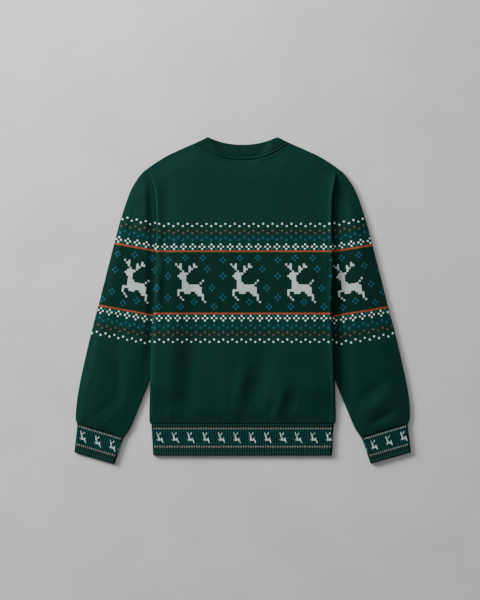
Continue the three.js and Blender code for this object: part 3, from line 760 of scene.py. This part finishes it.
def panel(name, side):
    upper = side == "back"
    radius = EDGE_RADIUS
    reach = SHOULDER_X - radius
    flat = 1 - (1 - np.linspace(0, 1, PANEL_COLUMNS)) ** 1.15
    curls = np.linspace(0, math.pi / 2, CURL_STEPS + 1)[1:]
    half_share = np.concatenate([flat, np.ones(CURL_STEPS)])
    half_curl = np.concatenate([np.zeros(PANEL_COLUMNS), curls])
    share = np.concatenate([half_share[:0:-1], half_share])[None, :]
    side_curl = np.concatenate([half_curl[:0:-1], half_curl])[None, :]
    sign = np.concatenate([-np.ones(len(half_share) - 1), np.ones(len(half_share))])[None, :]

    top = SHOULDER_Y - radius
    split = mix(ARMPIT_Y + radius, top, LEVEL_SHARE)
    hem_rows = HEM_HEIGHT + np.linspace(0, 1, HEM_ROWS) ** 1.5 * HEM_REACH
    levels = np.concatenate([hem_rows, np.arange(94, split, LEVEL_STEP), [split]])
    yokes = 1 - (1 - np.linspace(0, 1, YOKE_ROWS)[1:]) ** 1.35
    level = np.concatenate([levels, np.full(len(yokes) + CURL_STEPS, split)])[:, None]
    yoke = np.concatenate([np.zeros(len(levels)), yokes, np.ones(CURL_STEPS)])[:, None]
    row_curl = np.concatenate([np.zeros(len(levels) + len(yokes)), curls])[:, None]

    rise = radius * np.sin(row_curl)
    edge_y = mix(level, top, yoke) + rise
    in_rise = CLOTH * np.sin(row_curl)
    bulge = radius * np.sin(side_curl)
    top_x = share * reach + bulge
    on_shoulder = smooth(COLLAR_SEAM["end"][0] - 3, COLLAR_SEAM["end"][0] + 3, top_x)
    top_y = panel_top(side, top_x) - on_shoulder * radius
    y = mix(level, top_y, yoke) + on_shoulder * rise
    flare = yoke * (1 - share**4)
    half = mix(side_half(edge_y, sign), SHOULDER_X, flare)
    in_half = mix(side_half(edge_y - in_rise, sign), SHOULDER_X, flare)
    x = sign * (share * (half - radius) + bulge)
    y = np.broadcast_to(y, x.shape)
    bottom = upper_floor(x, y) if upper else lift(x, y)
    middle = lift(x, y) + CLOTH + EDGE_GAP / 2
    below_arm = side_curl * (1 - smooth(ARMPIT_Y - 16, ARMPIT_Y + 1, y))
    top_curl = on_shoulder * row_curl
    curl = np.maximum(below_arm, top_curl)
    turned = smooth(0, 0.5, curl)
    up = 1 if upper else -1
    out_z = back_surface(x, y) if upper else front_surface(x, y)
    in_z = np.maximum(bottom, out_z - CLOTH - 0.5) if upper else bottom + CLOTH
    out_z = mix(out_z, middle + up * radius * np.cos(curl), turned)
    in_z = mix(in_z, middle + up * EDGE_GAP / 2 * np.cos(curl), turned)
    in_x = sign * (share * (in_half - radius) + bulge - CLOTH * np.sin(below_arm))
    in_y = y - CLOTH * np.sin(top_curl)
    outer = np.stack([x, y, out_z], -1)
    inner = np.stack([in_x, in_y, in_z], -1)
    return shell(name, outer, inner, body_maps(x, y, not upper), knit)


# Tubes that lie flat

CAP_STEPS = 12
RIB_POINTS = 8


def flat_ring(place, gap, cloth, across, relief, ribs=0):
    """The outer and inner points of one ring of a flattened tube, with the share across and the side (0 below,
    1 above) of each. place and gap take a share from 0, the outer fold, to 1, the inner fold."""
    ends = place(np.array([0.0, 1.0]))
    width = np.hypot(*(ends[1] - ends[0]))
    first = (cloth + gap(np.array([0.0]))[0] / 2) / width
    last = 1 - (cloth + gap(np.array([1.0]))[0] / 2) / width
    steps = ribs * RIB_POINTS if ribs else across
    t = np.linspace(0, 1, steps + 1)
    under = mix(first, last, t)
    under_z = relief(under, 0)
    pieces = [(under, under_z, under, np.maximum(cloth, under_z + 0.4 * cloth), t)]
    turn = np.linspace(0, math.pi, CAP_STEPS + 1)[1:-1]

    def cap(inwards):
        at = 1.0 if inwards else 0.0
        half = gap(np.array([at]))[0] / 2
        middle = cloth + half
        angle = turn if inwards else math.pi - turn
        edge, way = (last, 1) if inwards else (first, -1)
        out = edge + way * np.sin(angle) * middle / width
        into = edge + way * np.sin(angle) * half / width
        z_out = middle - middle * np.cos(angle)
        z_in = middle - half * np.cos(angle)
        return out, z_out, into, z_in, np.full(len(angle), at)

    pieces.append(cap(True))
    over = under[::-1]
    over_gap = gap(over)
    over_z = 2 * cloth + over_gap + relief(over, 1)
    pieces.append((over, over_z, over, np.minimum(cloth + over_gap, over_z - 0.4 * cloth), t[::-1]))
    pieces.append(cap(False))
    out_share = np.concatenate([p[0] for p in pieces])
    out_z = np.concatenate([p[1] for p in pieces])
    in_share = np.concatenate([p[2] for p in pieces])
    in_z = np.concatenate([p[3] for p in pieces])
    phase = np.concatenate([p[4] for p in pieces])
    lower = np.concatenate([np.zeros(steps + 1), turn / math.pi, np.ones(steps + 1), 1 - turn / math.pi])
    outer = np.concatenate([place(out_share), out_z[:, None]], -1)
    inner = np.concatenate([place(in_share), in_z[:, None]], -1)
    return outer, inner, out_share, phase, lower, width


# How far from the body's side a sleeve starts to rise and has risen
VALLEY = {"left": (2, 20), "right": (10, 60)}
SLEEVE_ROWS = 190
SLEEVE_ACROSS = 58
# About how long a section is, in mm, at the armhole and at the cuff
ARMHOLE_SECTION, CUFF_SECTION = 18.0, 12.0
# The lean of the chart's rows and of its columns in degrees, and its column and row at the middle of the sleeve
SLEEVE_PATTERN = {"left": (10.5, 10.5, 6.0, 15), "right": (9.2, 6.7, 7.2, 14.43)}
SLEEVE_CELL = (4.8, 5.17)
SLEEVE_MIDDLE = (236.6, 381.8)
# The scale and shift of the columns of dots, above the band and below it
SLEEVE_DOTS = {"left": ((0.933, 0.933), (0.9735, -0.743)), "right": ((0.915, -0.38), (0.924, -1.448))}
# How many rows lower the upper dots and the top of the band lie, how far the lower dots are spread out, and the
# extra lean of the band's columns
SLEEVE_DRIFT = {"left": (0.36, 0.4, 0.3, 0.035), "right": (0.35, 0.5, 0.45, 0.0)}


def sleeve(name, sign):
    side = "left" if sign < 0 else "right"
    folds = SLEEVE_FOLDS[side]
    places = np.arange(len(SLEEVE_SECTIONS), dtype=float)
    last_section = len(SLEEVE_SECTIONS) - 1
    outer, inner, around = [], [], []
    for i in range(SLEEVE_ROWS + 1):
        at = i / SLEEVE_ROWS * last_section
        values = [float(along(places, SLEEVE_SECTIONS[:, k], at)) for k in range(6)]
        from_x, from_y, to_x, to_y, bend, loft = values
        cuffward = smooth(last_section - 3, last_section - 1, at)
        from_x += SLEEVE_SPREAD[side] * smooth(0, 4, at) * (1 - cuffward)
        if sign > 0:
            to_x += RIGHT_SHIFT * (1 - max(0, bend)) * (1 - smooth(4.5, 7, at))
        bend, loft = max(0, bend), max(0, loft)

        def place(share):
            x = mix(from_x, to_x, share)
            y = mix(from_y, to_y, share)
            on_seam = np.clip(mix(SHOULDER_Y, ARMPIT_Y, share), ARMPIT_Y, SHOULDER_Y)
            straight = mix(SHOULDER_X, SLEEVE_SECTIONS[0][2], share)
            bow = side_half(on_seam, sign) - straight
            return np.stack([sign * (x + bend * bow), y], -1)

        def free(share):
            spot = place(share)
            outside = np.abs(spot[:, 0]) - side_half(spot[:, 1], sign)
            edge = smooth(0, 0.15 if sign < 0 else 0.3, share) * smooth(0, 0.3, 1 - share)
            return spot, outside, smooth(*VALLEY[side], outside) * edge

        def gap(share):
            spot, outside, loose = free(share)
            below = 1 - smooth(ARMPIT_Y - 40, ARMPIT_Y, spot[:, 1])
            tucked = below * (1 - smooth(2, 26, outside))
            rest = mix(EDGE_GAP, SLEEVE_TUCK_GAP, tucked)
            fullness = np.clip(loft / 2, 0, 1)
            air = loft + fullness * fold_height(folds, spot[:, 0], spot[:, 1])
            return rest + loose * np.maximum(0, air)

        from_armhole = at * ARMHOLE_SECTION
        to_cuff = (last_section - at) * CUFF_SECTION

        def relief(share, above):
            spot, outside, loose = free(share)
            ends = seam_dip(from_armhole, 0.9, 2.4) * shoulder_fade(spot[:, 1]) + seam_dip(to_cuff, 1.1, 2.4)
            fine = loose * fold_height(FINE_FOLDS[side], spot[:, 0], spot[:, 1])
            if above:
                return fine - ends
            return np.maximum(0, 0.7 * np.abs(fine)) + 0.7 * ends

        ring = flat_ring(place, gap, CLOTH, SLEEVE_ACROSS, relief)
        outer.append(ring[0])
        inner.append(ring[1])
        spot = ring[0][:, :2]
        fold = place(np.array([0.0]))[0]
        turned = 1 - ring[4]
        past = 2 * fold[0] - spot[:, 0]
        around.append(np.stack([mix(spot[:, 0], past, turned), spot[:, 1], spot[:, 0]], -1))
    around = np.array(around)
    # Chart columns run on round the outer fold, and rows follow the tilt of the sleeve's bands
    row_lean, column_lean, middle_column, middle_row = SLEEVE_PATTERN[side]
    row_lean, column_lean = math.radians(row_lean), math.radians(column_lean)
    right = math.cos(column_lean), sign * math.sin(column_lean)
    down = sign * math.sin(row_lean), -math.cos(row_lean)
    centre = sign * SLEEVE_MIDDLE[0], SLEEVE_MIDDLE[1]
    dx, dy = around[..., 0] - centre[0], around[..., 1] - centre[1]
    real_dx = around[..., 2] - centre[0]
    column = (dx * right[0] + dy * right[1]) / SLEEVE_CELL[0] + middle_column
    row = (real_dx * down[0] + dy * down[1]) / SLEEVE_CELL[1] + middle_row
    upper, lower = SLEEVE_DOTS[side]
    dots = np.where(row < BAND_ROWS / 2, column * upper[0] + upper[1], column * lower[0] + lower[1])
    above, top, spread, skew = SLEEVE_DRIFT[side]
    column = column + skew * np.clip(24 - row, 0, 24)
    drift = above * np.clip(-row / DOT_ROWS, 0, 1.5) + top * np.clip(1 - row / BAND_ROWS, 0, 1) * smooth(0.5, 2.5, row)
    row = lower_rows(row - drift, spread)
    maps = {"Stitch": np.stack([column, row], -1), "Dots": np.stack([dots, row], -1)}
    return shell(name, np.array(outer), np.array(inner), maps, knit, loop=True)


RIB_RELIEF = 0.9
RIB_PITCH = 5.6


def rib_wave(phase):
    return np.abs(np.sin(np.pi * phase)) ** 0.7


def band(name, sections, rows, line_depth, first_column, way=1):
    """A ribbed tube between sections, each an outer and an inner end."""
    places = np.linspace(0, 1, len(sections))
    first = sections[0]
    ribs = round(math.hypot(first[2] - first[0], first[3] - first[1]) / RIB_PITCH)
    outer, inner, stitch, rib = [], [], [], []
    for at in np.linspace(0, 1, rows):
        from_x, from_y, to_x, to_y = [float(along(places, sections[:, k], at)) for k in range(4)]
        depth = math.hypot(from_x - first[0], from_y - first[1])
        whole = math.hypot(sections[-1][0] - first[0], sections[-1][1] - first[1])
        ends = seam_dip(depth, 0.9, 1.6) + seam_dip(whole - depth, 0.9, 1.2)
        roll = seam_dip(whole - depth - 3.4, 0.6, 2) - seam_dip(whole - depth - 8, 0.5, 1.6)

        def place(share):
            return np.stack([mix(from_x, to_x, share), mix(from_y, to_y, share)], -1)

        def gap(share):
            return np.full(len(share), EDGE_GAP)

        def relief(share, above):
            wave = rib_wave(np.linspace(0, ribs, len(share)))
            if above:
                return RIB_RELIEF * (wave - 0.45) - ends + roll
            return RIB_RELIEF * (1 - wave) + ends * 0.8

        out, into, share, phase, lower, width = flat_ring(place, gap, RIB_CLOTH, 0, relief, ribs=ribs)
        outer.append(out)
        inner.append(into)
        turned = 1 - lower
        across = mix(share * width, -share * width, turned)
        column = way * across / SMALL_CELL + first_column
        row = (depth - line_depth) / SMALL_CELL + UPPER_LINE_ROW
        stitch.append(np.stack([column, np.full(len(column), row)], -1))
        rib.append(np.stack([phase * ribs, np.full(len(column), depth)], -1))
    maps = {"Stitch": np.array(stitch), "Rib": np.array(rib)}
    return shell(name, np.array(outer), np.array(inner), maps, ribbing, loop=True)


# Collar

COLLAR_ROWS = 36
COLLAR_DEPTH = 31


def collar(name):
    seam_x, seam_y = COLLAR_SEAM["end"]
    edge_x, edge_y = COLLAR_EDGE["end"]
    width = math.hypot(seam_x - edge_x, edge_y - seam_y)
    outwards = ((edge_y - seam_y) / width, (seam_x - edge_x) / width)
    radius = RIB_CLOTH + EDGE_GAP / 2
    middle = float(upper_floor(seam_x, seam_y) + RIB_CLOTH) / 2
    ribs = round(2 * seam_x / RIB_PITCH)
    depths = np.linspace(0, 1, COLLAR_ROWS)[None, :]

    def flat_end(line, side):
        end_x, end_y = line["end"]
        slope = end_y - float(collar_y(line, side, end_x - 1))
        return end_x - radius / (outwards[0] + slope * outwards[1])

    def spots(side, t):
        t = t[:, None]
        from_x = t * flat_end(COLLAR_SEAM, side)
        to_x = t * flat_end(COLLAR_EDGE, side)
        from_y = collar_y(COLLAR_SEAM, side, from_x)
        to_y = collar_y(COLLAR_EDGE, side, to_x)
        return mix(from_x, to_x, depths), mix(from_y, to_y, depths)

    # Rolled at the free edge and turned down at the seam
    length = depths * COLLAR_DEPTH
    ends = seam_dip(length, 1, 1.8) + seam_dip(COLLAR_DEPTH - length, 0.9, 1.2)
    topstitch = seam_dip(length - 3, 0.6, 1.6) - seam_dip(length - 6.6, 0.7, 1.1)
    across = ribs * RIB_POINTS
    t = np.linspace(-1, 1, across + 1)
    wave = rib_wave((t + 1) / 2 * ribs)[:, None]
    back_x, back_y = spots("back", t)
    floor = upper_floor(back_x, back_y)
    fade = smooth(0, 0.05, 1 - np.abs(t))[:, None]
    back_out = floor + RIB_CLOTH + fade * (0.35 * RIB_RELIEF * (wave - 0.45) + topstitch - ends)
    back_in = floor + 0.6 * ends * fade + 0.4 * (1 - wave) * fade
    front_x, front_y = spots("front", t[::-1])
    front_out = fade * (RIB_RELIEF * (1 - wave) + 0.8 * ends)
    front_in = RIB_CLOTH + 0 * front_x - 0.4 * (1 - wave) * fade

    def fold(sign):
        upper = spots("back", np.array([sign]))
        lower = spots("front", np.array([sign]))
        tip_x = sign * mix(seam_x, edge_x, depths)
        tip_y = mix(seam_y, edge_y, depths)
        steps = np.linspace(0, 1, CAP_STEPS + 1)[1:-1][:, None]
        turn = steps if sign > 0 else 1 - steps
        out = np.sin(turn * math.pi)
        x, y = mix(upper[0], lower[0], turn), mix(upper[1], lower[1], turn)

        def bulge(share, size):
            z = middle + size * np.cos(turn * math.pi) + 0 * x
            return np.stack([mix(x, tip_x, out * share), mix(y, tip_y, out * share), z], -1)

        return bulge(1, middle), bulge(1 - RIB_CLOTH / radius, middle - RIB_CLOTH)

    right, left = fold(1), fold(-1)
    outer = [np.stack([back_x, back_y, back_out], -1), right[0], np.stack([front_x, front_y, front_out], -1), left[0]]
    inner = [np.stack([back_x, back_y, back_in], -1), right[1], np.stack([front_x, front_y, front_in], -1), left[1]]
    outer, inner = np.concatenate(outer), np.concatenate(inner)
    phase = np.concatenate([
        np.linspace(0, ribs, across + 1), np.linspace(0, 2, CAP_STEPS + 1)[1:-1],
        np.linspace(0, ribs, across + 1), np.linspace(0, 2, CAP_STEPS + 1)[1:-1],
    ])[:, None]
    rib = np.stack(np.broadcast_arrays(phase, length), -1)
    # The collar is plain: its chart rows lie far from the band
    stitch = np.stack(np.broadcast_arrays(phase * 2, length / SMALL_CELL + 90), -1)
    return shell(name, outer, inner, {"Stitch": stitch, "Rib": rib}, ribbing, ring=True)


# Seam stitching

def stitch_row(name, points, pitch=3.0, length=2.3, size=0.55, flip=False):
    """A row of short stitches of thread, each a small rounded body, along points in mm."""
    points = np.asarray(points, float)
    steps = np.linalg.norm(np.diff(points, axis=0), axis=1)
    run = np.concatenate([[0], np.cumsum(steps)])
    starts = np.arange(pitch / 2, run[-1] - pitch / 2, pitch)
    centres = np.stack([np.interp(starts, run, points[:, k]) for k in range(3)], -1)
    ahead = np.stack([np.interp(starts + 0.5, run, points[:, k]) for k in range(3)], -1)
    way = ahead - centres
    way /= np.linalg.norm(way, axis=1)[:, None]
    side = np.cross(way, (0, 0, 1))
    side /= np.linalg.norm(side, axis=1)[:, None]
    up = np.cross(side, way)
    sections, round_points = 5, 6
    t = np.linspace(-1, 1, sections)
    thick = size * np.sqrt(np.clip(1 - 0.93 * t**2, 0, 1))
    angle = np.arange(round_points) / round_points * 2 * math.pi
    local = np.stack(np.broadcast_arrays(
        t[:, None] * length / 2,
        thick[:, None] * np.cos(angle)[None],
        thick[:, None] * np.sin(angle)[None] * 0.8 - 0.25 * size * t[:, None] ** 2,
    ), -1).reshape(-1, 3)
    if flip:
        up = -up
    verts = (
        centres[:, None] + local[None, :, :1] * way[:, None]
        + local[None, :, 1:2] * side[:, None] + local[None, :, 2:] * up[:, None]
    )
    ring = grid_faces(sections, round_points, 0, False, True)
    per = sections * round_points
    caps = []
    for base in (0, per - round_points):
        a = base + np.arange(round_points)
        caps.append([a[0], a[1], a[2], a[3]] if base else [a[3], a[2], a[1], a[0]])
        caps.append([a[0], a[3], a[4], a[5]] if base else [a[5], a[4], a[3], a[0]])
    faces = np.concatenate([ring, np.array(caps)])
    count = len(centres)
    all_faces = (faces[None] + (np.arange(count) * per)[:, None, None]).reshape(-1, 4)
    return make_object(name, verts.reshape(-1, 3), all_faces, {}, thread)


pieces = {
    "back_panel": panel("back_knit", "back"),
    "front_panel": panel("front_knit", "front"),
    "left_sleeve": sleeve("left_sleeve_knit", -1),
    "right_sleeve": sleeve("right_sleeve_knit", 1),
    "hem_band": band(
        "hem_ribbing",
        np.array([
            (-HEM_TOP_HALF, HEM_HEIGHT, HEM_TOP_HALF, HEM_HEIGHT),
            (-198.4, HEM_HEIGHT / 2, 198.4, HEM_HEIGHT / 2),
            (-HEM_FOOT_HALF, 0, HEM_FOOT_HALF, 0),
        ]),
        40, 10.1, 26 - 41.8 / SMALL_CELL,
    ),
    "left_cuff": band("left_cuff_ribbing", CUFF_SECTIONS * (-1, 1, -1, 1), 40, 3.0, -5.2),
    "right_cuff": band("right_cuff_ribbing", CUFF_SECTIONS, 40, 3.0, 16.4, -1),
    "collar_band": collar("collar_ribbing"),
}
for node, piece in pieces.items():
    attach(piece, "root")
    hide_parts(node)


def stitch_rows(seam, x, drops, path):
    """Rows of stitches beside a seam of the back and of the front, each at its own distance from the seam."""
    for side, surface, flip in (("back", back_surface, False), ("front", front_surface, True)):
        for number, drop in enumerate(drops):
            row_x, row_y = path(side, x, drop)
            z = surface(row_x, row_y)
            z = np.maximum(z - 0.05, 0.35) if flip else z + 0.12
            points = np.column_stack([row_x, row_y, z])
            piece = stitch_row(f"{side}_{seam}_stitching_{number + 1}", points, flip=flip)
            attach(piece, "root")


def beside_hem(side, x, drop):
    return x, np.full_like(x, HEM_HEIGHT + drop)


def beside_neck(side, x, drop):
    slope = np.gradient(panel_top(side, x), x)
    length = np.hypot(1, slope)
    return x + drop * slope / length, panel_top(side, x) - drop / length


stitch_rows("hem", np.linspace(-190, 190, 400), (3.4, 8.4), beside_hem)
stitch_rows("neck", np.linspace(-98, 98, 300), (2.6, 6.4), beside_neck)

# Floor and lights

def floor_material():
    g = Nodes("floor")
    place = g.add("ShaderNodeTexCoord").outputs["Object"]
    grain = g.noise(place, 6.0, 3.0)
    g.link(g.mix(g.range(grain, 0.3, 0.7), srgb(214, 213, 210), srgb(222, 221, 218)), g.shader.inputs["Base Color"])
    g.finish(Roughness=0.9)
    return g.material


floor_mesh = bpy.data.meshes.new("floor")
FLOOR_HALF, FLOOR_DROP = 6, 0.0003
corners = [(x * FLOOR_HALF, y * FLOOR_HALF, 0) for x, y in ((-1, -1), (1, -1), (1, 1), (-1, 1))]
floor_mesh.from_pydata(corners, [], [(0, 1, 2, 3)])
floor_mesh.materials.append(floor_material())
floor = bpy.data.objects.new("floor", floor_mesh)
floor.location.z = -FLOOR_DROP
bpy.context.scene.collection.objects.link(floor)


def area_light(name, place, target, size, power):
    light = bpy.data.lights.new(name, "AREA")
    light.shape = "RECTANGLE"
    light.size, light.size_y = size
    light.energy = power
    made = bpy.data.objects.new(name, light)
    made.location = place
    way = Vector([b - a for a, b in zip(place, target)])
    made.rotation_euler = way.to_track_quat("-Z", "Y").to_euler()
    bpy.context.scene.collection.objects.link(made)


area_light("key", (-4.1, 2.33, 1.6), (0, 0, 0), (1.3, 1.3), 480)
area_light("top", (-0.6, 1.5, 0.8), (0, 0.1, 0), (0.8, 0.6), 15)
area_light("overhead", (0.1, 1.2, 3.4), (0, 0, 0), (2.0, 2.0), 14)
area_light("fill", (2.2, -0.8, 1.6), (0, 0, 0), (1.4, 1.4), 4)
world = bpy.data.worlds.new("world")
world.use_nodes = True
background = world.node_tree.nodes["Background"].inputs
background["Color"].default_value = (0.9, 0.93, 1, 1)
background["Strength"].default_value = 0.14
bpy.context.scene.world = world
